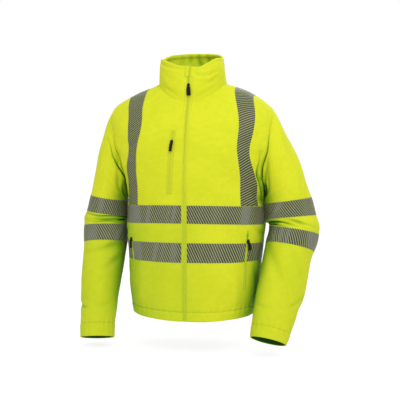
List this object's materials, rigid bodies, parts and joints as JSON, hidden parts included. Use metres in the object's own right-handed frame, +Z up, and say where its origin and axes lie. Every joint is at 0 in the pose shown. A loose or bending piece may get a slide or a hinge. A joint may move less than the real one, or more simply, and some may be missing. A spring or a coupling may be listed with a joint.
{
  "type": "high-visibility work jacket",
  "caption": "Hollow, filled-out high-visibility softshell work jacket with stand-up collar, front zip, zipped pockets and reflective tapes round the body, shoulders and sleeves.",
  "frame": {"origin": "middle of the neck at the height of the shoulders' high points, where the wearer carries the jacket", "axes": "+Z up, the front faces -Y, the wearer's left is +X"},
  "size_m": [0.6884, 0.2862, 0.8319],
  "materials": {
    "softshell": "matt bonded softshell, fluorescent yellow",
    "reflective_tape": "grey retroreflective film with fine slanting stripes",
    "zip": "dyed to match the cloth",
    "hardware": "black, satin",
    "tab": "woven, dark olive"
  },
  "bodies": {
    "jacket": {"front_left": "softshell", "front_right": "softshell", "back": "softshell", "collar": "softshell", "sleeve_left": "softshell", "sleeve_right": "softshell", "upper_band_front_left": "reflective_tape", "upper_band_front_right": "reflective_tape", "upper_band_back": "reflective_tape", "lower_band_front_left": "reflective_tape", "lower_band_front_right": "reflective_tape", "lower_band_side_left": "reflective_tape", "lower_band_side_right": "reflective_tape", "lower_band_back": "reflective_tape", "brace_front_left": "reflective_tape", "brace_front_right": "reflective_tape", "brace_back_left": "reflective_tape", "brace_back_right": "reflective_tape", "sleeve_upper_band_left": "reflective_tape", "sleeve_upper_band_right": "reflective_tape", "sleeve_lower_band_left": "reflective_tape", "sleeve_lower_band_right": "reflective_tape", "main_zip_left": "zip", "main_zip_right": "zip", "pocket_zip_left": "zip", "pocket_zip_right": "zip", "chest_zip": "zip", "main_slider": "hardware", "chest_slider": "hardware", "pocket_left_slider": "hardware", "pocket_right_slider": "hardware", "side_tab_left": "tab", "side_tab_right": "tab"},
    "main_zip_pull": {"main_pull": "hardware"},
    "chest_zip_pull": {"chest_pull": "hardware"},
    "pocket_left_zip_pull": {"pocket_left_pull": "hardware"},
    "pocket_right_zip_pull": {"pocket_right_pull": "hardware"}
  },
  "joints": [
    {"name": "main_pull_swing", "type": "hinge", "parent": "jacket", "child": "main_zip_pull", "pos_m": [0, -0.09093, -0.00603], "axis": [-0.9986, -0.0029, -0.0523], "range_deg": [0, 150]},
    {"name": "chest_pull_swing", "type": "hinge", "parent": "jacket", "child": "chest_zip_pull", "pos_m": [-0.0359, -0.14023, -0.16209], "axis": [-0.994, 0.0522, 0.0958], "range_deg": [0, 150]},
    {"name": "pocket_left_pull_swing", "type": "hinge", "parent": "jacket", "child": "pocket_left_zip_pull", "pos_m": [0.17043, -0.09629, -0.43534], "axis": [-0.6936, -0.6776, -0.2445], "range_deg": [0, 150]},
    {"name": "pocket_right_pull_swing", "type": "hinge", "parent": "jacket", "child": "pocket_right_zip_pull", "pos_m": [-0.16556, -0.09615, -0.43528], "axis": [-0.6762, 0.7292, 0.1048], "range_deg": [0, 150]}
  ]
}
